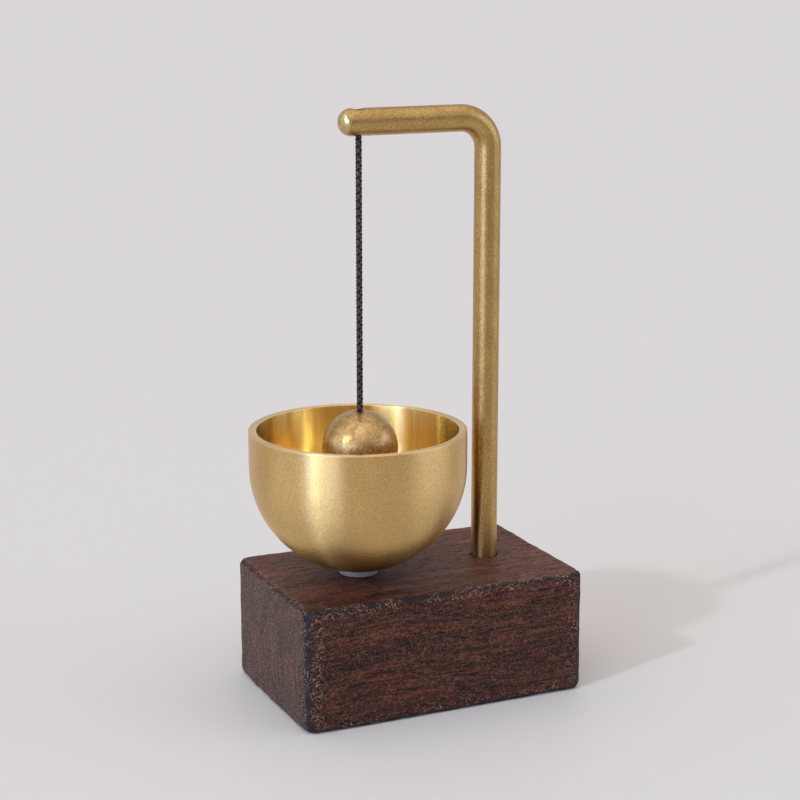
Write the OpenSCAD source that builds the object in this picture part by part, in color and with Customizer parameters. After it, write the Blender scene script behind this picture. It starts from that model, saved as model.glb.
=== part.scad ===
// Desk temple bell: a brass bowl on a hardwood block, rung by a brass ball that
// hangs on a cord from the arm of a bent brass rod.
// Origin: centre of the block's underside. +X runs along the block from the bowl
// to the rod, +Z is up.

/* [Base block] */
// Length of the hardwood block
base_l = 68; // [64:0.5:80]
// Depth of the block
base_d = 43.5; // [40:0.5:60]
// Height of the block
base_h = 28; // [24:0.5:40]
// Radius of the block's eased edges
base_edge = 1.6; // [0.5:0.1:3]

/* [Bell bowl] */
// Place of the bowl's axis along the block
bowl_x = -12.5; // [-16:0.1:-10]
// Outer diameter of the bowl at its rim
bowl_d = 48.7; // [44:0.1:52]
// Height of the bowl
bowl_h = 31.5; // [29:0.1:36]
// Height of the straight wall below the rim
bowl_wall_h = 8.3; // [5:0.1:10]
// Wall thickness at the rim
bowl_rim_t = 1.8; // [1.2:0.1:2.4]
// Thickness of the bowl's floor
bowl_floor_t = 2.2; // [1.8:0.1:3]
// Thickness of the nylon spacer under the bowl
spacer_t = 1.8; // [1:0.1:3]
// Diameter of the nylon spacer
spacer_d = 9; // [8:0.1:11]

/* [Bent rod] */
// Place of the upright along the block
post_x = 19.2; // [17:0.1:22]
// Diameter of the brass rod
rod_d = 6; // [5.5:0.1:6.5]
// Height of the whole bell, to the top of the arm
total_h = 132; // [120:0.5:145]
// Centreline radius of the rod's bend
bend_r = 6.8; // [6:0.1:12]
// How far the arm's domed tip reaches past the cord's hole
tip_reach = 4.7; // [4.4:0.1:8]

/* [Clapper] */
// Place of the cord and the ball along the block
cord_x = -12; // [-13:0.1:-11.5]
// Diameter of the brass ball
ball_d = 17; // [14:0.1:18]
// How far the ball's centre hangs below the bowl's rim
ball_drop = 4.4; // [3:0.1:7]
// Diameter of the braided cord
cord_d = 1.4; // [1:0.1:1.6]

/* [Hidden] */

brass_satin = [0.78, 0.64, 0.38];
brass_aged = [0.62, 0.47, 0.26];
steel = [0.62, 0.62, 0.64];
stained_wood = [0.24, 0.12, 0.10];
nylon = [0.90, 0.89, 0.92];
cord_brown = [0.13, 0.08, 0.08];

gap = 0.1;                               // clearance on each side of a fixed fit
eps = 0.01;                              // overlap that joins or clears two faces

// Heights of the stack under the bowl
bowl_z = base_h + spacer_t;              // underside of the bowl
rim_z = bowl_z + bowl_h;
bowl_floor_z = bowl_z + bowl_floor_t;

// Bowl profile: a straight wall, then a quarter ellipse down to a small flat foot
bowl_r = bowl_d / 2;
foot_r = 6;                              // flat foot, outside
floor_r = 5.2;                           // flat floor, inside
rim_round = 0.3;                         // rounding of the rim's two edges
profile_steps = 22;

// Bowl screw: pan head on a flat washer, shank down into the block
bowl_screw_d = 4;
bowl_head_d = 7.4;
bowl_head_h = 2.5;
bowl_washer_d = 9;
bowl_washer_t = 0.8;
bowl_screw_tip_z = 10;

// Rod: the foot stands on a ledge inside the block, and a screw pulls it down
rod_r = rod_d / 2;
rod_foot_z = 9;
arm_z = total_h - rod_r;                 // axis of the arm
tip_x = cord_x - tip_reach;              // end of the domed tip
rod_hole_r = rod_r + 0.15;
rod_screw_d = 3;
rod_screw_head_d = 5.6;
rod_screw_head_h = 2.4;
rod_screw_end_z = 20;                    // end of the thread inside the rod
rod_tap_end_z = 22;                      // end of the tapped bore
counterbore_d = 8.4;
counterbore_h = 4.6;
rod_washer_d = 7.6;
rod_washer_t = 0.6;

// Cord hole in the arm: a plain hole, with a wider seat from above for the knot
cord_hole_d = 1.9;
knot_seat_d = 2.7;
knot_seat_z = arm_z - 0.2;
mouth_chamfer = 0.35;
top_knot_r = 1.25;
top_knot_z = knot_seat_z + 0.83;

// Clapper: the cord bends where it leaves the arm, which is the swing's axis
pivot_z = arm_z - rod_r;
ball_z = rim_z - ball_drop;
ball_hole_d = 2.1;
ball_seat_d = 3.8;
ball_seat_z = ball_z - 4.5;
bottom_knot_r = 1.6;
bottom_knot_z = ball_seat_z - 1.25;

// Cord route: heights of its points, straight down at cord_x
cord_zs = [
    125.8, 122, 118, 114, 110, 106, 102, 98, 94, 90, 86, 82, 78, 74, 70, 66, 62, 58, 54, 52.2
];
cord_sides = 8;

round_fn = 96;
hull_fn = 32;

// Block of the given size standing on the origin, with rounded edges and corners
module eased_block(l, d, h, r) {
    hull()
        for (x = [-1, 1], y = [-1, 1], z = [r, h - r])
            translate([x * (l / 2 - r), y * (d / 2 - r), z])
                sphere(r, $fn = hull_fn);
}

// Vertical cylinder between two heights, on the Z axis
module cylinder_between(z0, z1, d, sides = round_fn) {
    translate([0, 0, z0])
        cylinder(h = z1 - z0, d = d, $fn = sides);
}

// Flat ring standing on a height
module ring(z0, t, outer_d, inner_d) {
    difference() {
        cylinder_between(z0, z0 + t, outer_d);
        cylinder_between(z0 - eps, z0 + t + eps, inner_d);
    }
}

// Quarter ellipse from the side wall down to a flat of the given radius.
// It starts at [r, 0] and ends at [flat_r, -drop].
function bowl_curve(r, flat_r, drop) =
    let (
        end_angle = acos(flat_r / r),
        semi = drop / sin(end_angle)
    )
    [for (i = [0 : profile_steps])
        let (a = end_angle * i / profile_steps)
        [r * cos(a), -semi * sin(a)]];

// Quarter arc of a rim edge about [cx, cz], from angle a0 to angle a1
function rim_arc(cx, cz, a0, a1) =
    [for (i = [0 : 4])
        let (a = a0 + (a1 - a0) * i / 4)
        [cx + rim_round * cos(a), cz + rim_round * sin(a)]];

function shifted(points, dz) = [for (p = points) [p[0], p[1] + dz]];
function reversed(points) = [for (i = [len(points) - 1 : -1 : 0]) points[i]];

module bowl_section() {
    inner_r = bowl_r - bowl_rim_t;
    wall_z = rim_z - bowl_wall_h;
    outer = shifted(bowl_curve(bowl_r, foot_r, wall_z - bowl_z), wall_z);
    inner = shifted(bowl_curve(inner_r, floor_r, wall_z - bowl_floor_z), wall_z);
    polygon(concat(
        [[0, bowl_z]],
        reversed(outer),
        rim_arc(bowl_r - rim_round, rim_z - rim_round, 0, 90),
        rim_arc(inner_r + rim_round, rim_z - rim_round, 90, 180),
        inner,
        [[0, bowl_floor_z]]
    ));
}

module base_block() {
    color(stained_wood)
        difference() {
            eased_block(base_l, base_d, base_h, base_edge);
            // Hole for the rod, with its ledge, screw hole and counterbore
            translate([post_x, 0, 0]) {
                cylinder_between(rod_foot_z, base_h + 1, 2 * rod_hole_r);
                cylinder_between(1, rod_foot_z + 1, rod_screw_d + 0.4);
                cylinder_between(-1, counterbore_h, counterbore_d);
            }
            // Pilot hole for the bowl's screw
            translate([bowl_x, 0, 0])
                cylinder_between(bowl_screw_tip_z - 1, base_h + 1, bowl_screw_d + 2 * gap);
        }
}

module bell_bowl() {
    color(brass_satin)
        translate([bowl_x, 0, 0])
            difference() {
                rotate_extrude($fn = round_fn)
                    bowl_section();
                cylinder_between(bowl_z - 1, bowl_floor_z + 1, bowl_screw_d + 4 * gap);
            }
}

module bowl_spacer() {
    color(nylon)
        translate([bowl_x, 0, 0])
            ring(base_h, spacer_t, spacer_d, bowl_screw_d + 4 * gap);
}

module bowl_screw_washer() {
    color(brass_satin)
        translate([bowl_x, 0, 0])
            ring(bowl_floor_z, bowl_washer_t, bowl_washer_d, bowl_screw_d + 4 * gap);
}

// Cross recess cut into a screw head from above
module cross_recess(top_z, span, slot_w, depth) {
    for (a = [0, 90])
        rotate(a)
            translate([-span / 2, -slot_w / 2, top_z - depth])
                cube([span, slot_w, depth + 1]);
}

module bowl_screw() {
    head_z = bowl_floor_z + bowl_washer_t;
    head_top = head_z + bowl_head_h;
    edge_h = 1.2;                        // upright edge below the head's dome
    dome_h = bowl_head_h - edge_h;
    dome_r = (pow(bowl_head_d / 2, 2) + pow(dome_h, 2)) / (2 * dome_h);
    color(brass_satin)
        translate([bowl_x, 0, 0])
            difference() {
                union() {
                    intersection() {
                        cylinder_between(head_z, head_top, bowl_head_d);
                        translate([0, 0, head_top - dome_r])
                            sphere(dome_r, $fn = round_fn);
                    }
                    cylinder_between(bowl_screw_tip_z + 3, head_z + eps, bowl_screw_d);
                    translate([0, 0, bowl_screw_tip_z])
                        cylinder(h = 3, d1 = 0.8, d2 = bowl_screw_d, $fn = round_fn);
                }
                cross_recess(head_top, 4.2, 1, 1.5);
            }
}

module bent_rod() {
    bend_x = post_x - bend_r;
    bend_z = arm_z - bend_r;
    dome_x = tip_x + rod_r;
    color(brass_satin)
        difference() {
            union() {
                translate([post_x, 0, 0])
                    cylinder_between(rod_foot_z, bend_z, rod_d);
                translate([bend_x, 0, bend_z])
                    rotate([90, 0, 0])
                        rotate_extrude(angle = 90, $fn = round_fn)
                            translate([bend_r, 0])
                                circle(rod_r, $fn = round_fn);
                translate([dome_x, 0, arm_z])
                    rotate([0, 90, 0])
                        cylinder(h = bend_x - dome_x, r = rod_r, $fn = round_fn);
                translate([dome_x, 0, arm_z])
                    sphere(rod_r, $fn = round_fn);
            }
            // Cord hole, knot seat and the chamfer of the lower mouth
            translate([cord_x, 0, 0]) {
                cylinder_between(pivot_z - 1, total_h + 1, cord_hole_d);
                cylinder_between(knot_seat_z, total_h + 1, knot_seat_d);
                translate([0, 0, pivot_z - eps])
                    cylinder(h = mouth_chamfer + eps, r1 = cord_hole_d / 2 + mouth_chamfer,
                             r2 = cord_hole_d / 2, $fn = round_fn);
            }
            // Tapped bore in the foot
            translate([post_x, 0, 0])
                cylinder_between(rod_foot_z - 1, rod_tap_end_z, rod_screw_d + gap);
        }
}

module rod_screw_washer() {
    color(steel)
        translate([post_x, 0, 0])
            ring(counterbore_h - rod_washer_t, rod_washer_t, rod_washer_d, rod_screw_d + 4 * gap);
}

module rod_screw() {
    head_top = counterbore_h - rod_washer_t;
    head_z = head_top - rod_screw_head_h;
    socket_across = 2.9;                 // across the hexagon's corners
    color(steel)
        translate([post_x, 0, 0])
            difference() {
                union() {
                    cylinder_between(head_z, head_top, rod_screw_head_d);
                    cylinder_between(head_top - eps, rod_screw_end_z, rod_screw_d);
                }
                cylinder_between(head_z - 1, head_z + 1.4, socket_across, 6);
            }
}

// Knot on top of the cord, with the short length of cord inside the arm
module cord_top_knot() {
    color(cord_brown)
        translate([cord_x, 0, 0]) {
            translate([0, 0, top_knot_z])
                sphere(top_knot_r, $fn = 48);
            cylinder_between(pivot_z + 0.1, top_knot_z, cord_d, 24);
        }
}

// Tube of the given radius along a route that runs straight down
module vertical_tube(x, zs, r, sides) {
    rings = len(zs);
    points = [for (z = zs, i = [0 : sides - 1])
        let (a = 360 * i / sides)
        [x + r * cos(a), r * sin(a), z]];
    walls = [for (k = [0 : rings - 2], i = [0 : sides - 1])
        let (j = (i + 1) % sides)
        [k * sides + i, k * sides + j, (k + 1) * sides + j, (k + 1) * sides + i]];
    top_cap = [[for (i = [sides - 1 : -1 : 0]) i]];
    bottom_cap = [[for (i = [0 : sides - 1]) (rings - 1) * sides + i]];
    polyhedron(points, concat(walls, top_cap, bottom_cap), convexity = 2);
}

module cord() {
    color(cord_brown)
        vertical_tube(cord_x, cord_zs, cord_d / 2, cord_sides);
}

module cord_bottom_knot() {
    color(cord_brown)
        translate([cord_x, 0, bottom_knot_z])
            sphere(bottom_knot_r, $fn = 48);
}

module clapper_ball() {
    mouth_flare = 0.3;                   // small flare at the hole's upper mouth
    top_z = ball_z + ball_d / 2;
    color(brass_aged)
        translate([cord_x, 0, 0])
            difference() {
                translate([0, 0, ball_z])
                    sphere(d = ball_d, $fn = round_fn);
                cylinder_between(ball_z - ball_d, ball_z + ball_d, ball_hole_d);
                cylinder_between(ball_z - ball_d, ball_seat_z, ball_seat_d);
                translate([0, 0, top_z - mouth_flare])
                    cylinder(h = mouth_flare + eps, r1 = ball_hole_d / 2,
                             r2 = ball_hole_d / 2 + mouth_flare + eps, $fn = round_fn);
            }
}

base_block();
bell_bowl();
bowl_spacer();
bowl_screw();
bowl_screw_washer();
bent_rod();
rod_screw();
rod_screw_washer();
cord_top_knot();
cord();
cord_bottom_knot();
clapper_ball();
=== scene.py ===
"""Desk temple bell: the looks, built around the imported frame. Metres, Z up."""

import math

import bmesh
import bpy
import numpy as np
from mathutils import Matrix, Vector, noise


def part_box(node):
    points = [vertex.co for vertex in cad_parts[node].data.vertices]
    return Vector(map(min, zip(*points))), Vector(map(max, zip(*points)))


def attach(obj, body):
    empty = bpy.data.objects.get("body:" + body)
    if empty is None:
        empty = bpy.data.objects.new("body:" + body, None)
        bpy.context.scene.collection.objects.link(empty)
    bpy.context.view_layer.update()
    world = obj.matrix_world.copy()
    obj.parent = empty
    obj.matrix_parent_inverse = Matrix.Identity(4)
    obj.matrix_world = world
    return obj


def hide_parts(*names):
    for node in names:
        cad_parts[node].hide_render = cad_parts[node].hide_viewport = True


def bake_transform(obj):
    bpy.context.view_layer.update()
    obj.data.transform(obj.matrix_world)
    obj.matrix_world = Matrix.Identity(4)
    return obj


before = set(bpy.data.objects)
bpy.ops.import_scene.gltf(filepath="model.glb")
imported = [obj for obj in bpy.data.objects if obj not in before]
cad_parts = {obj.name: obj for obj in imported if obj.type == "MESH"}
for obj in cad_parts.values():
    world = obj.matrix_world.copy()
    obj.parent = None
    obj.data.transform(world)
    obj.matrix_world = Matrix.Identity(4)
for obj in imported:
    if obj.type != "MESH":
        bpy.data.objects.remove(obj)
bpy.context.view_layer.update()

MM = 0.001
DEG = math.pi / 180

# ---------------------------------------------------------------- places, from the frame


def span(node):
    """Lowest and highest corner of a CAD node, as Vectors."""
    low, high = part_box(node)
    return Vector(low), Vector(high)


BLOCK_LOW, BLOCK_HIGH = span("base_block")
BOWL_LOW, BOWL_HIGH = span("bell_bowl")
BALL_LOW, BALL_HIGH = span("clapper_ball")
ROD_LOW, ROD_HIGH = span("bent_rod")
SPACER_LOW, SPACER_HIGH = span("bowl_spacer")
WASHER_LOW, WASHER_HIGH = span("bowl_screw_washer")
TOP_KNOT_LOW, TOP_KNOT_HIGH = span("cord_top_knot")
LOW_KNOT_LOW, LOW_KNOT_HIGH = span("cord_bottom_knot")

BOWL_X = (BOWL_LOW.x + BOWL_HIGH.x) / 2      # the bowl's axis, and its spacer's
CORD_X = (BALL_LOW.x + BALL_HIGH.x) / 2      # the cord hangs beside it, and the ball on the cord
ROD_R = (ROD_HIGH.y - ROD_LOW.y) / 2
POST_X = ROD_HIGH.x - ROD_R
ARM_Z = ROD_HIGH.z - ROD_R
PIVOT = Vector((CORD_X, 0, ARM_Z - ROD_R))   # where the cord leaves the arm
BALL_R = (BALL_HIGH.x - BALL_LOW.x) / 2
PENDULUM = 69.1 * MM                         # from the pivot to the ball's centre
BALL_Z = PIVOT.z - PENDULUM
RIM_Z = BOWL_HIGH.z

# ---------------------------------------------------------------- camera

CAMERA_AZIMUTH = -24.63 * DEG
CAMERA_ELEVATION = 13.24 * DEG
CAMERA_DISTANCE = 433.8 * MM
CAMERA_LENS = 87.2                            # millimetres on a 36 mm sensor
CAMERA_TARGET = Vector((-2.2, 0, 66.8)) * MM


def add_camera():
    """A long lens from a little above, on the side where the bowl is."""
    back = Vector((
        math.sin(CAMERA_AZIMUTH) * math.cos(CAMERA_ELEVATION),
        -math.cos(CAMERA_AZIMUTH) * math.cos(CAMERA_ELEVATION),
        math.sin(CAMERA_ELEVATION),
    ))
    data = bpy.data.cameras.new("camera")
    data.lens = CAMERA_LENS
    data.sensor_width = 36
    data.clip_start = 0.01
    data.clip_end = 50
    camera = bpy.data.objects.new("camera", data)
    camera.location = CAMERA_TARGET + back * CAMERA_DISTANCE
    camera.rotation_mode = "QUATERNION"
    camera.rotation_quaternion = (-back).to_track_quat("-Z", "Y")
    bpy.context.collection.objects.link(camera)
    bpy.context.scene.camera = camera


add_camera()

# ---------------------------------------------------------------- mesh helpers


def add_object(name, points, faces, smooth=True):
    """A mesh object from points and faces, in the scene."""
    mesh = bpy.data.meshes.new(name)
    mesh.from_pydata([tuple(p) for p in points], [], faces)
    mesh.validate()
    mesh.update()
    for polygon in mesh.polygons:
        polygon.use_smooth = smooth
    made = bpy.data.objects.new(name, mesh)
    bpy.context.collection.objects.link(made)
    return made


def fix_normals(made):
    """Turns every face outwards."""
    work = bmesh.new()
    work.from_mesh(made.data)
    bmesh.ops.recalc_face_normals(work, faces=work.faces)
    work.to_mesh(made.data)
    work.free()


def crease(made, degrees):
    """Shades the edges sharper than an angle as hard edges, and the rest smooth."""
    work = bmesh.new()
    work.from_mesh(made.data)
    for face in work.faces:
        face.smooth = True
    for edge in work.edges:
        edge.smooth = len(edge.link_faces) == 2 and edge.calc_face_angle(0) < degrees * DEG
    work.to_mesh(made.data)
    work.free()


def subtract(made, cutter):
    """Cuts a closed mesh out of another and deletes the cutter."""
    cut = made.modifiers.new("cut", "BOOLEAN")
    cut.operation = "DIFFERENCE"
    cut.solver = "EXACT"
    cut.object = cutter
    graph = bpy.context.evaluated_depsgraph_get()
    result = bpy.data.meshes.new_from_object(made.evaluated_get(graph))
    made.modifiers.clear()
    old = made.data
    made.data = result
    result.name = made.name
    bpy.data.meshes.remove(old)
    bpy.data.objects.remove(cutter)


def eased(outline, radius, steps=4, sharp=25):
    """A closed outline of (r, z) points with each sharp corner rounded."""
    points = [Vector(p) for p in outline]
    made = []
    for i, here in enumerate(points):
        before, after = points[i - 1], points[(i + 1) % len(points)]
        a, b = (before - here), (after - here)
        bend = 180 - a.angle(b) / DEG
        if bend < sharp:
            made.append(here)
            continue
        reach = min(radius * math.tan(bend / 2 * DEG), a.length * 0.45, b.length * 0.45)
        start, end = here + a.normalized() * reach, here + b.normalized() * reach
        for k in range(steps + 1):
            t = k / steps
            made.append(start * (1 - t) ** 2 + here * 2 * t * (1 - t) + end * t ** 2)
    return made


def lathe(name, outline, axis_x, segments=256):
    """A closed outline of (r, z) points, all with r above 0, turned about x = axis_x.
    Its turn attribute is the place along the outline, in millimetres."""
    points, faces = [], []
    count = len(outline)
    steps = [(Vector(b) - Vector(a)).length / MM for a, b in zip(outline, outline[1:])]
    turn = [sum(steps[:k]) for k in range(count)]
    for s in range(segments):
        a = 2 * math.pi * s / segments
        points += [(axis_x + r * math.cos(a), r * math.sin(a), z) for r, z in outline]
        for k in range(count):
            n, m = (k + 1) % count, (s + 1) % segments
            faces.append((s * count + k, s * count + n, m * count + n, m * count + k))
    made = add_object(name, points, faces)
    fix_normals(made)
    write_attribute(made, "turn", turn * segments)
    return made


def solid_of_revolution(name, outline, axis_x, segments=96):
    """Like lathe, but the outline starts and ends on the axis."""
    inner = outline[1:-1]
    count = len(inner)
    points, faces = [], []
    for s in range(segments):
        a = 2 * math.pi * s / segments
        points += [(axis_x + r * math.cos(a), r * math.sin(a), z) for r, z in inner]
        m = (s + 1) % segments
        faces += [
            (s * count + k, s * count + k + 1, m * count + k + 1, m * count + k)
            for k in range(count - 1)
        ]
    points += [(axis_x, 0, outline[0][1]), (axis_x, 0, outline[-1][1])]
    first, last = len(points) - 2, len(points) - 1
    for s in range(segments):
        m = (s + 1) % segments
        faces.append((first, s * count, m * count))
        faces.append((last, m * count + count - 1, s * count + count - 1))
    made = add_object(name, points, faces)
    fix_normals(made)
    return made


def tube(points, radii, sides, up=Vector((0, 1, 0))):
    """Points and faces of a closed tube along points, with a radius at each."""
    rings, faces = [], []
    last = len(points) - 1
    for i, here in enumerate(points):
        ahead = (points[min(i + 1, last)] - points[max(i - 1, 0)]).normalized()
        side = ahead.cross(up).normalized()
        top = side.cross(ahead)
        for k in range(sides):
            a = 2 * math.pi * k / sides
            rings.append(here + (side * math.cos(a) + top * math.sin(a)) * radii[i])
        if i:
            base = (i - 1) * sides
            faces += [
                (base + k, base + (k + 1) % sides, base + sides + (k + 1) % sides, base + sides + k)
                for k in range(sides)
            ]
    faces.append(tuple(range(sides))[::-1])
    faces.append(tuple(last * sides + k for k in range(sides)))
    return rings, faces


def join_parts(name, parts):
    """One object from several (points, faces) lists."""
    points, faces = [], []
    for part_points, part_faces in parts:
        offset = len(points)
        points += part_points
        faces += [tuple(i + offset for i in f) for f in part_faces]
    made = add_object(name, points, faces)
    fix_normals(made)
    return made


def write_attribute(made, name, values):
    """A number for each point, which a material reads by name."""
    made.data.attributes.new(name, "FLOAT", "POINT").data.foreach_set("value", values)


def write_vectors(made, name, vectors):
    """A vector for each point, which a material reads by name."""
    flat = np.array(vectors, dtype=np.float32).ravel()
    made.data.attributes.new(name, "FLOAT_VECTOR", "POINT").data.foreach_set("vector", flat)


# ---------------------------------------------------------------- material helpers


# Where the Mix node keeps its two colours and their result
MIX_COLOURS = slice(6, 8)
MIX_RESULT = 2


class Nodes:
    """Short calls that add nodes to a tree and link them."""

    def __init__(self, tree):
        self.tree = tree

    def node(self, kind, **settings):
        made = self.tree.nodes.new("ShaderNode" + kind)
        for key, value in settings.items():
            setattr(made, key, value)
        return made

    def join(self, socket, value):
        """Links a socket to an output, or sets it to a plain value."""
        if isinstance(value, bpy.types.NodeSocket):
            self.tree.links.new(value, socket)
        else:
            socket.default_value = value

    def math(self, operation, a, b=0.0):
        made = self.node("Math", operation=operation)
        self.join(made.inputs[0], a)
        self.join(made.inputs[1], b)
        return made.outputs[0]

    def plus(self, a, b):
        return self.math("ADD", a, b)

    def minus(self, a, b):
        return self.math("SUBTRACT", a, b)

    def times(self, a, b):
        return self.math("MULTIPLY", a, b)

    def vector(self, operation, a, b=(0, 0, 0)):
        made = self.node("VectorMath", operation=operation)
        self.join(made.inputs[0], a)
        self.join(made.inputs[1], b)
        return made.outputs["Value" if operation in ("LENGTH", "DOT_PRODUCT") else "Vector"]

    def split(self, vector):
        made = self.node("SeparateXYZ")
        self.join(made.inputs[0], vector)
        return made.outputs

    def combine(self, *values):
        """A vector of one to three numbers, with 0 for those left out."""
        made = self.node("CombineXYZ")
        for socket, value in zip(made.inputs, values):
            self.join(socket, value)
        return made.outputs[0]

    def mix(self, factor, a, b, blend="MIX"):
        """Colour a where factor is 0, and b blended with it where factor is 1."""
        made = self.node("Mix", data_type="RGBA", blend_type=blend)
        self.join(made.inputs[0], factor)
        for socket, colour in zip(made.inputs[MIX_COLOURS], (a, b)):
            self.join(socket, colour if isinstance(colour, bpy.types.NodeSocket) else (*colour, 1))
        return made.outputs[MIX_RESULT]

    def remap(self, value, low, high, to_low=0.0, to_high=1.0):
        """Goes smoothly from to_low to to_high while value goes from low to high."""
        made = self.node("MapRange", interpolation_type="SMOOTHSTEP")
        for socket, v in zip(made.inputs, (value, low, high, to_low, to_high)):
            self.join(socket, v)
        return made.outputs[0]


class Material(Nodes):
    """A node material. Positions reach it in millimetres."""

    def __init__(self, name):
        self.data = bpy.data.materials.new(name)
        self.data.use_nodes = True
        super().__init__(self.data.node_tree)
        self.shader = self.tree.nodes["Principled BSDF"]

    def place(self, scale=(1, 1, 1), shift=(0, 0, 0)):
        """The point's place in millimetres, stretched by scale. shift is in metres."""
        where = self.node("TexCoord").outputs["Object"]
        moved = self.vector("SUBTRACT", where, shift)
        return self.vector("MULTIPLY", moved, tuple(k / MM for k in scale))

    def attribute(self, name, kind="Fac"):
        """What write_attribute stored under a name, or write_vectors if kind is Vector."""
        return self.node("Attribute", attribute_name=name).outputs[kind]

    def noise(self, where, scale=1.0, detail=3.0, roughness=0.5, distortion=0.0):
        made = self.node("TexNoise")
        self.join(made.inputs["Vector"], where)
        made.inputs["Scale"].default_value = scale
        made.inputs["Detail"].default_value = detail
        made.inputs["Roughness"].default_value = roughness
        made.inputs["Distortion"].default_value = distortion
        return made.outputs[0]

    def bump(self, height, distance_mm, strength):
        made = self.node("Bump")
        made.inputs["Strength"].default_value = strength
        made.inputs["Distance"].default_value = distance_mm * MM
        self.join(made.inputs["Height"], height)
        return made.outputs[0]

    def set(self, **values):
        """Sets the shader's own sockets by name, with _ for a space."""
        for key, value in values.items():
            socket = self.shader.inputs[key.replace("_", " ")]
            if key in ("Base_Color", "Sheen_Tint") and isinstance(value, tuple):
                value = (*value, 1)
            self.join(socket, value)


def give(material, *objects):
    """Puts a material on pieces made here."""
    for made in objects:
        made.data.materials.clear()
        made.data.materials.append(material.data)


def give_cad(material, node):
    """Puts a material on a CAD node, in its object's own slots."""
    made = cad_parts[node]
    for slot in made.material_slots:
        slot.link = "OBJECT"
        slot.material = material.data


# ---------------------------------------------------------------- shapes


def quarter_ellipse(r, flat_r, drop, top_z, steps=72):
    """From the side wall at (r, top_z) down to a flat of radius flat_r, drop lower."""
    end = math.acos(flat_r / r)
    semi = drop / math.sin(end)
    return [
        (r * math.cos(end * i / steps), top_z - semi * math.sin(end * i / steps))
        for i in range(steps + 1)
    ]


def make_bowl():
    """A straight wall below the rim, then a quarter ellipse down to a small drilled foot.
    Its inside attribute is 1 on the faces turned towards the axis."""
    rim_t, wall_h, floor_t = 1.8 * MM, 8.3 * MM, 2.2 * MM
    foot_r, floor_r, hole_r = 6 * MM, 5.2 * MM, 2.2 * MM
    outer_r = (BOWL_HIGH.x - BOWL_LOW.x) / 2
    inner_r = outer_r - rim_t
    low, wall_z, floor_z = BOWL_LOW.z, RIM_Z - wall_h, BOWL_LOW.z + floor_t
    outer = quarter_ellipse(outer_r, foot_r, wall_z - low, wall_z)
    inner = quarter_ellipse(inner_r, floor_r, wall_z - floor_z, wall_z)
    outline = [(hole_r, low)] + outer[::-1] + [(outer_r, RIM_Z), (inner_r, RIM_Z)]
    outline += inner + [(hole_r, floor_z)]
    bowl = lathe("bowl", eased(outline, 0.14 * MM, 4), BOWL_X, 384)
    axis = Vector((BOWL_X, 0, 0))
    facing = [v.normal.xy.dot((v.co - axis).xy) for v in bowl.data.vertices]
    write_attribute(bowl, "inside", [float(k < 0) for k in facing])
    return bowl


def make_ball():
    """Drilled through for the cord, with a wider seat from below for the knot."""
    hole_r, seat_r, seat_z = 1.05 * MM, 1.9 * MM, BALL_Z - 4.5 * MM
    flare = 0.12 * MM
    top = math.acos((hole_r + flare) / BALL_R)
    bottom = math.acos(seat_r / BALL_R)
    steps = 96
    arc = [top - (top + bottom) * i / steps for i in range(steps + 1)]
    outline = [(BALL_R * math.cos(a), BALL_Z + BALL_R * math.sin(a)) for a in arc]
    outline += [(seat_r, seat_z), (hole_r, seat_z), (hole_r, outline[0][1] - 2 * flare)]
    return lathe("ball", eased(outline, 0.15 * MM, 4), CORD_X, 192)


def make_ring(name, low, high, hole_r, easing):
    """A flat ring on the bowl's axis that fills a CAD box, with eased edges."""
    r = (high.x - low.x) / 2
    outline = [(hole_r, low.z), (r, low.z), (r, high.z), (hole_r, high.z)]
    return lathe(name, eased(outline, easing, 5), BOWL_X, 128)


# Rod: up the post, round the bend, along the arm and over the domed tip
BEND_R = 6.8 * MM
BEND_X, BEND_Z = POST_X - BEND_R, ARM_Z - BEND_R
DOME_X = ROD_LOW.x + ROD_R
POLISH_X = ROD_LOW.x + 1.65 * MM              # the tip is polished up to here


def rod_path():
    """Centres and radii of the rod's rings."""
    points = []
    post_steps, bend_steps, arm_steps, dome_steps = 60, 40, 40, 20
    for i in range(post_steps):
        points.append(Vector((POST_X, 0, ROD_LOW.z + (BEND_Z - ROD_LOW.z) * i / post_steps)))
    for i in range(bend_steps):
        a = math.pi / 2 * i / bend_steps
        points.append(Vector((BEND_X + BEND_R * math.cos(a), 0, BEND_Z + BEND_R * math.sin(a))))
    for i in range(arm_steps):
        points.append(Vector((BEND_X + (DOME_X - BEND_X) * i / arm_steps, 0, ARM_Z)))
    radii = [ROD_R] * len(points)
    dome_end = 0.995 * math.pi / 2               # a tiny flat cap closes the dome
    for i in range(dome_steps + 1):
        a = dome_end * i / dome_steps
        points.append(Vector((DOME_X - ROD_R * math.sin(a), 0, ARM_Z)))
        radii.append(ROD_R * math.cos(a))
    return points, radii


def rod_grain(p):
    """Place along the rod, and across it, in millimetres."""
    if p.x > BEND_X and p.z > BEND_Z:
        a = math.atan2(p.z - BEND_Z, p.x - BEND_X)
        along = BEND_Z + BEND_R * a
        across = math.hypot(p.x - BEND_X, p.z - BEND_Z) - BEND_R
    elif p.z <= BEND_Z:
        along, across = p.z, p.x - POST_X
    else:
        along, across = BEND_Z + BEND_R * math.pi / 2 + BEND_X - p.x, p.z - ARM_Z
    return (along / MM, across / MM, p.y / MM)


def rod_direction(p):
    """Unit vector along the rod."""
    if p.x > BEND_X and p.z > BEND_Z:
        a = math.atan2(p.z - BEND_Z, p.x - BEND_X)
        return (-math.sin(a), 0, math.cos(a))
    return (0, 0, 1) if p.z <= BEND_Z else (-1, 0, 0)


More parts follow.
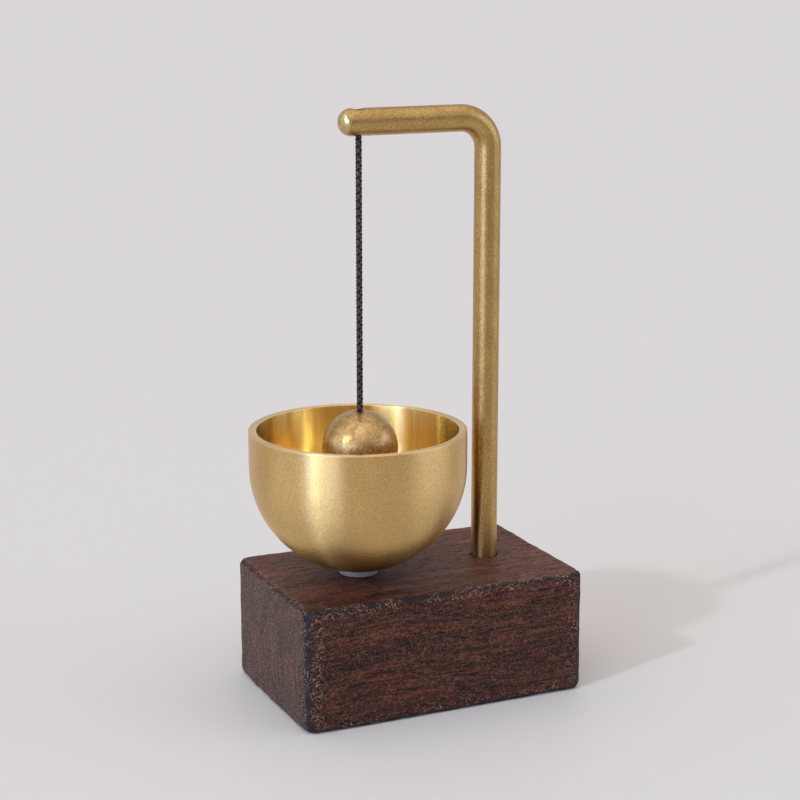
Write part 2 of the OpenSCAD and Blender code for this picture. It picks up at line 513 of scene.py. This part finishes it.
def make_rod():
    """Swept along its path, then drilled down through the arm for the cord and its knot."""
    points, radii = rod_path()
    rod = join_parts("rod", [tube(points, radii, 96)])
    hole_r, seat_r, seat_z = 0.95 * MM, 1.35 * MM, ARM_Z - 0.2 * MM
    top_z, mouth_z, mouth = ARM_Z + ROD_R, ARM_Z - ROD_R, 0.35 * MM
    lip, clear = 0.35 * MM, 1 * MM
    hole = [
        (0, mouth_z - clear), (hole_r + mouth + clear, mouth_z - clear),
        (hole_r, mouth_z + mouth), (hole_r, seat_z), (seat_r, seat_z),
        (seat_r, top_z - lip), (seat_r + lip + clear, top_z + clear), (0, top_z + clear),
    ]
    subtract(rod, solid_of_revolution("hole_cutter", hole, CORD_X))
    crease(rod, 40)
    write_vectors(rod, "grain", [rod_grain(v.co) for v in rod.data.vertices])
    write_vectors(rod, "along", [rod_direction(v.co) for v in rod.data.vertices])
    write_vectors(rod, "round", [(0, ARM_Z - v.co.z, v.co.y) for v in rod.data.vertices])
    return rod


def graded(half, fine=(0.0, 0.15, 0.35, 0.6, 0.9, 1.25, 1.65, 2.1, 2.6, 3.2), step=1.1):
    """Places from -half to half, close together near both ends. Millimetres."""
    inner = 2 * half - 2 * fine[-1]
    count = max(2, round(inner / step))
    middle = [fine[-1] + inner * i / count for i in range(1, count)]
    return [-half + k for k in list(fine) + middle] + [half - k for k in fine[::-1]]


def rounded(p, half, corner_r, edge_r):
    """Where a point of a square block's surface lies once the upright corners and the
    edges round the top and bottom are rounded, and its outward direction there."""
    core = Vector([min(max(p[k], corner_r - half[k]), half[k] - corner_r) for k in range(2)])
    out = Vector(p[:2]) - core
    reach, heading = max(abs(k) for k in out), out.normalized()
    inner, level = corner_r - edge_r, half.z - edge_r
    over = Vector((max(0.0, reach - inner), max(0.0, abs(p.z) - level)))
    over = over.normalized() * max(over)
    sideways = heading * (min(reach, inner) + over.x) + core
    height = math.copysign(min(abs(p.z), level) + over.y, p.z)
    lean = Vector((*(heading * over.x), math.copysign(over.y, p.z)))
    return Vector((*sideways, height)), lean.normalized()


def edge_distance(p):
    """Millimetres to the nearest edge of the block, less on the broader upright ones."""
    x, y, z = [min(p[k] - BLOCK_LOW[k], BLOCK_HIGH[k] - p[k]) / MM for k in range(3)]
    return min(0.6 * max(x, y), 1.5 * max(x, z), 1.15 * max(y, z))


def corner_distance(p):
    """Millimetres to the nearest upright edge of the block."""
    x, y = [min(p[k] - BLOCK_LOW[k], BLOCK_HIGH[k] - p[k]) / MM for k in range(2)]
    return max(x, y)


def block_grid(half):
    """A square block about the origin, of six fine grids joined along its edges."""
    work = bmesh.new()
    for axis in range(3):
        u, v = (axis + 1) % 3, (axis + 2) % 3
        us, vs = graded(half[u]), graded(half[v])
        for side in (-1, 1):
            grid = []
            for a in us:
                row = []
                for b in vs:
                    p = Vector((0, 0, 0))
                    p[axis], p[u], p[v] = side * half[axis], a, b
                    row.append(work.verts.new(p))
                grid.append(row)
            for here, after in zip(grid, grid[1:]):
                for j in range(len(vs) - 1):
                    work.faces.new((here[j], after[j], after[j + 1], here[j + 1]))
    bmesh.ops.remove_doubles(work, verts=work.verts, dist=1e-4)
    bmesh.ops.recalc_face_normals(work, faces=work.faces)
    return work


def unevenness(p, scale, shift=(0, 0, 0)):
    """Smooth noise from about -1 to 1. A larger scale makes it finer."""
    return noise.noise(p * scale + Vector(shift))


def hand_eased(p, half):
    """Where a point of the square block ends up: edges of uneven radius with small dents,
    and faces that aren't quite flat, apart from the underside. Millimetres."""
    edge_r = 1.45 + 0.5 * unevenness(p, 0.13) + 0.35 * unevenness(p, 0.45, (9, 0, 0))
    edge_r = min(max(edge_r, 0.8), 2.2)
    corner_r = 2.9 + 0.5 * unevenness(p, 0.2, (0, 3, 0))
    place, out = rounded(p, half, corner_r, edge_r)
    worn = min(1.0, (1 - max(abs(k) for k in out)) / 0.2)
    dent = 0.28 * worn * max(0.0, unevenness(p, 0.9, (0, 5, 0)) - 0.02)
    hollow = 0.035 * (1 + unevenness(p, 0.12, (0, 0, 7)))
    return place - out * (dent + hollow * (out.z > -0.5))


def drill_block(block):
    """The rod's hole from above, and its screw's counterbore from below."""
    hole_r, foot_z, lip = ROD_R + 0.17 * MM, ROD_LOW.z, 0.25 * MM
    top = BLOCK_HIGH.z
    post_hole = [
        (0, foot_z - MM), (hole_r, foot_z - MM), (hole_r, top - lip),
        (hole_r + lip + MM, top + MM), (0, top + MM),
    ]
    subtract(block, solid_of_revolution("post_cutter", post_hole, POST_X))
    under_r, under_z, low = 4.2 * MM, 4.6 * MM, BLOCK_LOW.z
    seat = [
        (0, low - MM), (under_r + lip + MM, low - MM), (under_r, low + lip),
        (under_r, under_z), (0, under_z),
    ]
    subtract(block, solid_of_revolution("seat_cutter", seat, POST_X))


def make_block():
    """Hardwood block with hand-eased edges and its two holes."""
    half = (BLOCK_HIGH - BLOCK_LOW) / MM / 2
    centre = (BLOCK_HIGH + BLOCK_LOW) / 2 / MM
    work = block_grid(half)
    for vert in work.verts:
        vert.co = hand_eased(vert.co.copy(), half) + centre
    bmesh.ops.scale(work, vec=(MM, MM, MM), verts=work.verts)
    mesh = bpy.data.meshes.new("block")
    work.to_mesh(mesh)
    work.free()
    block = bpy.data.objects.new("block", mesh)
    bpy.context.collection.objects.link(block)
    drill_block(block)
    crease(block, 50)
    write_attribute(block, "edge", [edge_distance(v.co) for v in block.data.vertices])
    write_attribute(block, "corner", [corner_distance(v.co) for v in block.data.vertices])
    return block


# Cord: straight down the axis, braided from strands that cross over and under
CORD_HEIGHTS = [
    125.8, 122, 118, 114, 110, 106, 102, 98, 94, 90, 86, 82, 78, 74, 70, 66, 62, 58, 54, 52.2
]                                             # millimetres
CORD_TOP_Z = 129.6 * MM                       # inside the top knot


def make_cord():
    """A core, and two sets of strands wound opposite ways. Its crown attribute grows
    from the core's axis to 1 on the outermost fibres."""
    strands, pitch, step = 3, 5.0 * MM, 0.14 * MM
    strand_sides, core_sides, core_steps = 6, 10, 100
    mean_r, weave, strand_r, core_r = 0.42 * MM, 0.12 * MM, 0.26 * MM, 0.38 * MM
    top, low = CORD_TOP_Z, CORD_HEIGHTS[-1] * MM
    count = int((top - low) / step)
    parts = []
    for turn in (-1, 1):
        for k in range(strands):
            line = []
            for i in range(count + 1):
                s = (top - low) * i / count
                a = 2 * math.pi * (k / strands + turn * s / pitch)
                r = mean_r + turn * weave * math.cos(strands * a)
                line.append(Vector((CORD_X + r * math.cos(a), r * math.sin(a), top - s)))
            parts.append(tube(line, [strand_r] * len(line), strand_sides))
    core = [Vector((CORD_X, 0, top - (top - low) * i / core_steps)) for i in range(core_steps + 1)]
    parts.append(tube(core, [core_r] * len(core), core_sides))
    cord = join_parts("braided_cord", parts)
    from_axis = [math.hypot(v.co.x - CORD_X, v.co.y) for v in cord.data.vertices]
    write_attribute(cord, "crown", [r / (mean_r + weave + strand_r) for r in from_axis])
    return cord


def make_knot(name, low, high):
    """A tight overhand knot that fills the box of its CAD ball."""
    centre, r = (low + high) / 2, (high.x - low.x) / 2
    if high.z - low.z > 2.2 * r:
        centre.z = high.z - r
    size, thick, tall = 0.207 * r, 0.38 * r, 1.9
    count, sides = 96, 14
    line = []
    for i in range(count):
        t = 2 * math.pi * i / count
        line.append(centre + size * Vector((
            math.sin(t) + 2 * math.sin(2 * t),
            math.cos(t) - 2 * math.cos(2 * t),
            -math.sin(3 * t) * tall,
        )))
    points, faces = [], []
    for i, here in enumerate(line):
        ahead = (line[(i + 1) % count] - line[i - 1]).normalized()
        side = ahead.cross(Vector((0, 0, 1))).normalized()
        top = side.cross(ahead)
        for k in range(sides):
            a = 2 * math.pi * k / sides
            points.append(here + (side * math.cos(a) + top * math.sin(a)) * thick)
            m, n = (i + 1) % count, (k + 1) % sides
            faces.append((i * sides + k, i * sides + n, m * sides + n, m * sides + k))
    knot = add_object(name, points, faces)
    fix_normals(knot)
    return knot


# ---------------------------------------------------------------- materials


def turned_brass():
    """The bowl: satin brass with a sandy speckle and a few pits, and fine rings from the
    lathe low down. The wall inside is brighter turned, with a brighter, yellower tone
    painted in for the light it gathers. Painted light too: a lighter reflection low down,
    shade towards the foot and a highlight on the rim."""
    m = Material("bowl_brass")
    where = m.place(shift=(BOWL_X, 0, 0))
    x, y, z = m.split(where)
    heading = m.math("ARCTAN2", y, x)
    sine, cosine = m.math("SINE", heading), m.math("COSINE", heading)
    turn, inside = m.attribute("turn"), m.attribute("inside")
    drop = m.minus(RIM_Z / MM, z)                # millimetres below the rim
    rise = m.minus(z, BOWL_LOW.z / MM)           # millimetres above the foot
    low = m.remap(drop, 17, 27)
    painted_foot_shade = m.remap(rise, 8.0, 0.3)
    painted_rim_highlight = m.remap(drop, 0.25, 0.1)

    rings = m.noise(m.combine(m.times(turn, 1.7), sine, cosine), 1.0, 2.0, 0.6)
    wiped = m.combine(m.times(turn, 0.05), m.times(sine, 20), m.times(cosine, 20))
    wipes = m.noise(wiped, 1.0, 2.0, 0.5)
    broad = m.noise(where, 0.09, 3.0, 0.55)
    sand = m.noise(where, 2.6, 3.0, 0.7)
    pits = m.remap(m.noise(where, 2.6, 2.0, 0.6), 0.66, 0.74)
    smooth = m.math("MAXIMUM", low, inside)
    grit = m.remap(smooth, 0.0, 1.0, 0.68, 0.12)

    tone = m.mix(m.remap(broad, 0.35, 0.7), (0.72, 0.470, 0.182), (0.66, 0.425, 0.158))
    tone = m.mix(m.times(m.remap(sand, 0.50, 0.72), grit), tone, (0.93, 0.71, 0.38))
    tone = m.mix(m.times(m.remap(sand, 0.50, 0.30), grit), tone, (0.50, 0.31, 0.10))
    tone = m.mix(m.times(pits, 0.4), tone, (0.33, 0.20, 0.07))
    # painted reflection: a lighter, more saturated tone low on the bowl, for the floor reflected
    # there
    tone = m.mix(m.times(low, 0.5), tone, (0.98, 0.67, 0.215))
    # painted shade: the brass darkens towards the foot, standing in for the dark block reflected
    # beneath it
    tone = m.mix(m.times(painted_foot_shade, 0.92), tone, (0.23, 0.125, 0.022))
    # painted light: the inside gets its own brighter, yellower brass tone, with the real wipe
    # marks, for the light gathered inside the bowl
    inner_tone_and_glow = m.mix(m.remap(wipes, 0.32, 0.68), (0.78, 0.55, 0.175), (0.91, 0.69, 0.275))
    inner_tone_and_glow = m.mix(m.remap(sand, 0.5, 0.7, 0.0, 0.2), inner_tone_and_glow, (0.92, 0.74, 0.36))
    tone = m.mix(inside, tone, inner_tone_and_glow)
    # painted highlight: a paler tone along the rim's eased edge
    tone = m.mix(painted_rim_highlight, tone, (0.87, 0.63, 0.31))
    m.set(Base_Color=tone, Metallic=1.0, Anisotropic=1.0, Anisotropic_Rotation=0.25)

    rough = m.times(m.remap(sand, 0.3, 0.75, 0.05, 0.17), grit)
    rough = m.plus(rough, m.remap(low, 0.0, 1.0, 0.28, 0.24))
    m.set(Roughness=m.minus(rough, m.times(inside, 0.06)))
    sandy = m.times(sand, m.remap(smooth, 0.0, 1.0, 1.4, 0.05))
    ringed = m.times(rings, m.remap(low, 0.0, 1.0, 0.15, 3.2))
    m.set(Normal=m.bump(m.plus(sandy, ringed), 0.02, 0.8))
    m.set(Tangent=m.node("Tangent", direction_type="RADIAL", axis="Z").outputs[0])
    return m


def drawn_brass():
    """The rod: a sandy satin skin, with very faint streaks along it."""
    m = Material("rod_brass")
    own = m.attribute("grain", "Vector")
    streaked = m.noise(m.vector("MULTIPLY", own, (0.15, 1.6, 1.6)), 1.0, 3.0, 0.6)
    sand = m.noise(own, 3.0, 3.0, 0.65)
    patches = m.noise(m.vector("MULTIPLY", own, (0.16, 0.3, 0.3)), 1.0, 3.0, 0.55)
    tone = m.mix(m.remap(patches, 0.35, 0.68), (0.485, 0.306, 0.104), (0.420, 0.256, 0.083))
    tone = m.mix(m.remap(streaked, 0.42, 0.72, 0.0, 0.2), tone, (0.42, 0.26, 0.08))
    tone = m.mix(m.remap(sand, 0.52, 0.70, 0.0, 0.6), tone, (0.80, 0.60, 0.32))
    tone = m.mix(m.remap(sand, 0.48, 0.30, 0.0, 0.6), tone, (0.24, 0.14, 0.045))
    m.set(Base_Color=tone, Metallic=1.0, Anisotropic=0.6)
    m.set(Roughness=m.remap(sand, 0.3, 0.75, 0.28, 0.37))
    m.set(Tangent=m.attribute("along", "Vector"))
    m.set(Normal=m.bump(m.plus(sand, m.times(streaked, 0.2)), 0.05, 0.9))
    return m


def polished_brass():
    """The rod's domed tip, polished past the satin finish of the rest."""
    m = Material("tip_brass")
    marks = m.noise(m.place(), 1.6, 3.0, 0.6)
    fine = m.noise(m.place(), 5.0, 2.0, 0.6)
    tone = m.mix(m.remap(marks, 0.35, 0.7), (0.60, 0.46, 0.21), (0.42, 0.31, 0.125))
    m.set(Base_Color=tone, Metallic=1.0, Anisotropic=0.85)
    m.set(Roughness=m.remap(fine, 0.3, 0.7, 0.20, 0.28))
    m.set(Tangent=m.attribute("round", "Vector"))
    m.set(Normal=m.bump(marks, 0.02, 0.6))
    return m


def tumbled_brass():
    """The ball: mottled and lightly tarnished, with a fine crackle."""
    m = Material("ball_brass")
    where = m.place(shift=(CORD_X, 0, BALL_Z))
    clouds = m.noise(where, 0.32, 4.0, 0.6, 0.5)
    spots = m.noise(where, 1.2, 5.0, 0.7, 0.8)
    fine = m.noise(where, 1.9, 4.0, 0.7, 0.6)
    cracks = m.remap(m.math("ABSOLUTE", m.minus(fine, 0.5)), 0.035, 0.0)
    tone = m.mix(m.remap(clouds, 0.38, 0.66), (0.62, 0.405, 0.163), (0.43, 0.255, 0.095))
    tone = m.mix(m.remap(spots, 0.52, 0.66, 0.0, 0.6), tone, (0.77, 0.57, 0.30))
    tone = m.mix(m.remap(spots, 0.47, 0.34, 0.0, 0.7), tone, (0.30, 0.155, 0.045))
    tone = m.mix(m.times(cracks, 0.55), tone, (0.20, 0.10, 0.035))
    m.set(Base_Color=tone, Metallic=1.0, Roughness=m.remap(spots, 0.3, 0.75, 0.24, 0.32))
    m.set(Normal=m.bump(m.plus(spots, m.times(cracks, -0.4)), 0.035, 0.7))
    return m


def bright_metal(name, colour, roughness):
    """A machined fastener: fine marks and a little handling wear."""
    m = Material(name)
    marks = m.noise(m.place(), 3.5, 4.0, 0.7)
    wear = m.noise(m.place(), 0.7, 3.0, 0.6)
    tone = m.mix(m.remap(wear, 0.4, 0.7), colour, tuple(k * 0.7 for k in colour))
    m.set(Base_Color=tone, Metallic=1.0)
    m.set(Roughness=m.remap(marks, 0.3, 0.75, roughness - 0.06, roughness + 0.1))
    m.set(Normal=m.bump(marks, 0.015, 0.6))
    return m


def swaying_place(m):
    """Places in the wood, in millimetres, that sway across the grain."""
    sway = m.noise(m.place((0.02, 0.05, 0.05)), 1.0, 2.0, 0.5)
    shift = m.times(m.minus(sway, 0.5), 9.0)
    return m.vector("ADD", m.place(), m.combine(0, shift, shift))


def streaks(m, bent, length, width, detail=3.0, roughness=0.6):
    """Noise in streaks of about this length and width, in millimetres."""
    squeeze = (1 / length, 1 / width, 1 / width)
    return m.noise(m.vector("MULTIPLY", bent, squeeze), 1.0, detail, roughness)


def end_grain(m, bent):
    """The tone of the block's ends: arcs of year rings, with murky patches."""
    from_heart = m.vector("MULTIPLY", m.vector("ADD", bent, (0, 34, -12)), (0, 1, 1))
    arc = m.combine(m.times(m.vector("LENGTH", from_heart), 1.3))
    wander = m.vector("MULTIPLY", m.place(), (0, 0.1, 0.1))
    arcs = m.noise(m.vector("ADD", arc, wander), 1.0, 3.0, 0.6)
    tone = m.mix(m.remap(arcs, 0.40, 0.58), (0.019, 0.0130, 0.0094), (0.108, 0.043, 0.024))
    murk = m.remap(m.noise(m.place(), 0.12, 3.0, 0.6), 0.42, 0.62)
    return m.mix(m.times(murk, 0.65), tone, (0.036, 0.028, 0.022))


def worn_edges(m, tone, x, facing_up):
    """Adds the dark stain gathered along the edges, and dark and pale specks beside the
    upright ones, more of them at the bowl's end. Returns the tone, and where it is chipped."""
    edge, corner = m.attribute("edge"), m.attribute("corner")
    wander = m.times(m.minus(m.noise(m.place(), 0.6, 5.0, 0.7), 0.5), 2.4)
    dark_edge = m.remap(m.plus(edge, wander), 1.5, 0.7)
    tone = m.mix(m.times(dark_edge, 0.88), tone, (0.0090, 0.0095, 0.0125))

    beside = m.times(m.remap(corner, 5.5, 4.2), m.remap(corner, 1.4, 2.4))
    beside = m.times(beside, m.remap(facing_up, 0.6, 0.3))
    beside = m.times(beside, m.remap(x, 10, -10, 0.4, 1.0))
    specks = m.noise(m.place(), 2.6, 3.0, 0.75)
    pepper = m.times(m.remap(specks, 0.49, 0.43), beside)
    tone = m.mix(m.times(pepper, 0.9), tone, (0.0075, 0.0070, 0.0085))

    clusters = m.remap(m.noise(m.place(), 0.22, 2.0, 0.5), 0.42, 0.56)
    clusters = m.math("MAXIMUM", clusters, m.times(beside, 0.9))
    chips = m.times(m.remap(specks, 0.545, 0.61), clusters)
    chips = m.times(chips, m.remap(edge, 3.2, 1.4))
    fresh = m.remap(m.noise(m.place(), 1.3, 2.0), 0.4, 0.6)
    chip_tone = m.mix(fresh, (0.52, 0.38, 0.29), (0.34, 0.15, 0.075))
    return m.mix(m.times(chips, 0.85), tone, chip_tone), chips


def stained_wood():
    """Dark reddish hardwood, grain along X: bands, dark dashes, open pores and pale dust,
    and edges where the dark stain has gathered and chipped."""
    m = Material("stained_wood")
    bent = swaying_place(m)
    x, y = m.split(m.place())[:2]
    facing_x, facing_y, facing_z = m.split(m.node("TexCoord").outputs["Normal"])
    end = m.remap(m.math("ABSOLUTE", facing_x), 0.5, 0.85)
    front = m.remap(m.math("ABSOLUTE", facing_y), 0.5, 0.85)
    top = m.remap(facing_z, 0.6, 0.95)

    # Long grain
    bands = m.remap(streaks(m, bent, 45, 2.4), 0.36, 0.64)
    lines = m.remap(streaks(m, bent, 16, 0.65, 4.0), 0.40, 0.66, 0.0, 0.85)
    fibres = streaks(m, bent, 4, 0.22)
    dashes = m.remap(streaks(m, bent, 9, 0.9, 4.0, 0.7), 0.53, 0.63)
    pores = m.remap(streaks(m, bent, 3.5, 0.42, 2.0, 0.5), 0.56, 0.66)
    tone = m.mix(bands, (0.050, 0.0145, 0.0090), (0.128, 0.039, 0.0205))
    tone = m.mix(lines, tone, (0.026, 0.0085, 0.0062))
    tone = m.mix(m.remap(fibres, 0.48, 0.70, 0.0, 0.7), tone, (0.195, 0.074, 0.041))
    tone = m.mix(m.times(dashes, 0.85), tone, (0.0085, 0.0052, 0.0058))
    tone = m.mix(m.times(pores, 0.85), tone, (0.0075, 0.0045, 0.0050))

    # End grain, then the painted lighter top, the painted darker long faces and painted shade on
    # top at the front
    tone = m.mix(m.times(end, 0.85), tone, end_grain(m, bent))
    # painted light: faces turned up are lightened
    tone = m.mix(top, tone, (1.60, 1.52, 1.50), "MULTIPLY")
    # painted shade: faces turned to front and back are darkened
    tone = m.mix(front, tone, (0.86, 0.78, 0.76), "MULTIPLY")
    # painted shade: the top darkens towards the front, near the bowl
    painted_front_shade = m.times(m.remap(y, -9, -19), m.remap(x, 24, 0, 0.35, 1))
    tone = m.mix(m.times(painted_front_shade, top), tone, (0.50, 0.42, 0.34), "MULTIPLY")

    # Pale and dark dust, then the edges
    dust = m.noise(m.place(), 2.6, 2.0, 0.7)
    pale = m.times(m.remap(dust, 0.55, 0.64, 0.0, 0.36), m.plus(end, 1.0))
    tone = m.mix(pale, tone, (0.27, 0.150, 0.100))
    tone = m.mix(m.remap(dust, 0.45, 0.35, 0.0, 0.85), tone, (0.0095, 0.0062, 0.0065))
    tone, chips = worn_edges(m, tone, x, facing_z)
    m.set(Base_Color=tone, Specular_IOR_Level=0.18)

    rough = m.remap(fibres, 0.3, 0.75, 0.42, 0.56)
    m.set(Roughness=m.plus(rough, m.times(pores, 0.15)))
    height = m.minus(m.times(fibres, 0.5), m.times(pores, 0.8))
    height = m.minus(height, m.times(dashes, 0.35))
    height = m.plus(height, m.times(dust, 0.6))
    height = m.minus(height, m.times(chips, 0.6))
    m.set(Normal=m.bump(height, 0.12, 0.75))
    return m


def white_nylon():
    """The spacer: slightly cloudy white nylon, darkened with painted shade from the bowl above."""
    m = Material("white_nylon")
    cloud = m.noise(m.place(), 0.8, 3.0, 0.5)
    # painted shade: the white nylon gets a dark grey-brown tone for the shade under the bowl
    m.set(Base_Color=m.mix(cloud, (0.38, 0.315, 0.285), (0.30, 0.248, 0.224)))
    m.set(Roughness=m.remap(m.noise(m.place(), 4.0, 3.0, 0.6), 0.3, 0.7, 0.32, 0.5))
    m.set(Subsurface_Weight=0.35, Subsurface_Radius=(1.0, 1.0, 1.0), Subsurface_Scale=0.6 * MM)
    m.set(Normal=m.bump(cloud, 0.02, 0.5))
    return m


def waxed_cord():
    """Dark braid: each strand made of fine threads, with painted sheen and paler worn fibres on its
    crowns, and painted shade between the strands.
    """
    m = Material("waxed_cord")
    threads = m.noise(m.place((6, 6, 1.6)), 1.6, 3.0, 0.6)
    dusty = m.noise(m.place((2.2, 2.2, 1.6)), 1.0, 4.0, 0.7)
    crown = m.remap(m.attribute("crown"), 0.66, 0.97)
    # painted light: crowns lighter as painted sheen, the gaps between strands darker as painted
    # shade
    tone = m.mix(crown, (0.0035, 0.0012, 0.0014), (0.100, 0.045, 0.043))
    tone = m.mix(m.remap(threads, 0.40, 0.7, 0.0, 0.6), tone, (0.020, 0.010, 0.011))
    # paler fibres on the crowns: partly real wear, partly painted sheen
    worn = m.times(crown, m.remap(dusty, 0.54, 0.66, 0.0, 0.8))
    tone = m.mix(worn, tone, (0.30, 0.21, 0.22))
    m.set(Base_Color=tone, Specular_IOR_Level=0.35)
    m.set(Roughness=m.remap(threads, 0.3, 0.7, 0.45, 0.65))
    m.set(Sheen_Weight=0.1, Sheen_Roughness=0.4, Sheen_Tint=(0.55, 0.45, 0.42))
    m.set(Normal=m.bump(threads, 0.06, 0.8))
    return m


# ---------------------------------------------------------------- pieces

bowl = make_bowl()
ball = make_ball()
rod = make_rod()
block = make_block()
spacer = make_ring("spacer", SPACER_LOW, SPACER_HIGH, 2.2 * MM, 0.2 * MM)
screw_washer = make_ring("screw_washer", WASHER_LOW, WASHER_HIGH, 2.2 * MM, 0.1 * MM)
cord = make_cord()
top_knot = make_knot("top_knot", TOP_KNOT_LOW, TOP_KNOT_HIGH)
low_knot = make_knot("low_knot", LOW_KNOT_LOW, LOW_KNOT_HIGH)

give(turned_brass(), bowl)
give(tumbled_brass(), ball)
give(drawn_brass(), rod)
rod.data.materials.append(polished_brass().data)
for face in rod.data.polygons:
    face.material_index = int(face.center.x < POLISH_X)
give(stained_wood(), block)
give(white_nylon(), spacer)
screw_brass = bright_metal("screw_brass", (0.78, 0.58, 0.28), 0.24)
zinc_steel = bright_metal("zinc_steel", (0.56, 0.57, 0.60), 0.30)
give(screw_brass, screw_washer)
give_cad(screw_brass, "bowl_screw")
give_cad(zinc_steel, "rod_screw")
give_cad(zinc_steel, "rod_screw_washer")
give(waxed_cord(), cord, top_knot, low_knot)

for piece, body, node, slot in (
    (bowl, "stand", "bell_bowl", "bowl_brass"),
    (ball, "clapper", "clapper_ball", "ball_brass"),
    (rod, "stand", "bent_rod", "rod_brass"),
    (block, "stand", "base_block", "stained_wood"),
    (spacer, "stand", "bowl_spacer", "white_nylon"),
    (screw_washer, "stand", "bowl_screw_washer", "screw_brass"),
    (top_knot, "cord_seat", "cord_top_knot", "waxed_cord"),
    (low_knot, "clapper", "cord_bottom_knot", "waxed_cord"),
):
    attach(piece, body)
    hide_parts(node)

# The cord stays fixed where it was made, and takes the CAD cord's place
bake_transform(cord)
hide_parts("cord")

# ---------------------------------------------------------------- floor and light


def heading_vector(heading, elevation):
    """Unit vector towards a heading, counted anticlockwise from +X, and an elevation."""
    a, e = heading * DEG, elevation * DEG
    return Vector((math.cos(a) * math.cos(e), math.sin(a) * math.cos(e), math.sin(e)))


def add_floor():
    """A wide, plain, pale floor, a hair below the block."""
    size, below = 14.0, 0.02 * MM
    corners = [(-size, -size, 0), (size, -size, 0), (size, size, 0), (-size, size, 0)]
    floor = add_object("floor", corners, [(0, 1, 2, 3)], smooth=False)
    floor.location.z = -below
    m = Material("floor")
    m.set(Base_Color=(0.645, 0.612, 0.568), Roughness=0.5, Specular_IOR_Level=0.22)
    give(m, floor)


def add_key():
    """A small, distant key light from the left: it throws the soft-edged shadow."""
    data = bpy.data.lights.new("key", "SUN")
    data.energy = 0.85
    data.angle = 3 * DEG
    data.color = (0.80, 0.92, 1.0)
    lamp = bpy.data.objects.new("key", data)
    lamp.rotation_mode = "QUATERNION"
    lamp.rotation_quaternion = heading_vector(198, 33.3).to_track_quat("Z", "Y")
    bpy.context.collection.objects.link(lamp)


# Each soft light's heading, elevation, radius of its even middle and radius where it
# ends, in degrees, and its colour
SOFTBOXES = (
    (196, 17, 2, 5.5, (8.3, 14.0, 34.0)),
    (216, 9, 8, 17, (3.1, 4.2, 6.7)),
    (330, 14, 6, 32, (0.96, 1.18, 1.65)),
    (172, 18, 10, 40, (0.62, 0.76, 1.00)),
    (245, 66, 6, 20, (0.6, 0.75, 1.1)),
)


def add_world():
    """A room with a bright ceiling, a pale wall behind, a dim front and the soft lights."""
    world = bpy.data.worlds.new("studio")
    world.use_nodes = True
    w = Nodes(world.node_tree)
    towards = w.node("TexCoord").outputs["Generated"]

    def nearness(heading, elevation):
        return w.vector("DOT_PRODUCT", towards, tuple(heading_vector(heading, elevation)))

    front, wall = (0.215, 0.163, 0.115), (0.60, 0.565, 0.56)
    total = w.mix(w.remap(nearness(65, 0), -0.8, 0.6), front, wall)
    ceiling = w.remap(nearness(245, 74), 0.42, 0.85, 0.0, 0.71)
    total = w.vector("ADD", total, w.vector("MULTIPLY", ceiling, (1.02, 1.01, 1.04)))
    for heading, elevation, middle, end, colour in SOFTBOXES:
        glow = w.remap(nearness(heading, elevation), math.cos(end * DEG), math.cos(middle * DEG))
        total = w.vector("ADD", total, w.vector("MULTIPLY", glow, colour))
    w.join(world.node_tree.nodes["Background"].inputs["Color"], total)
    bpy.context.scene.world = world


add_floor()
add_world()
add_key()
bpy.context.scene.view_settings.view_transform = "Standard"
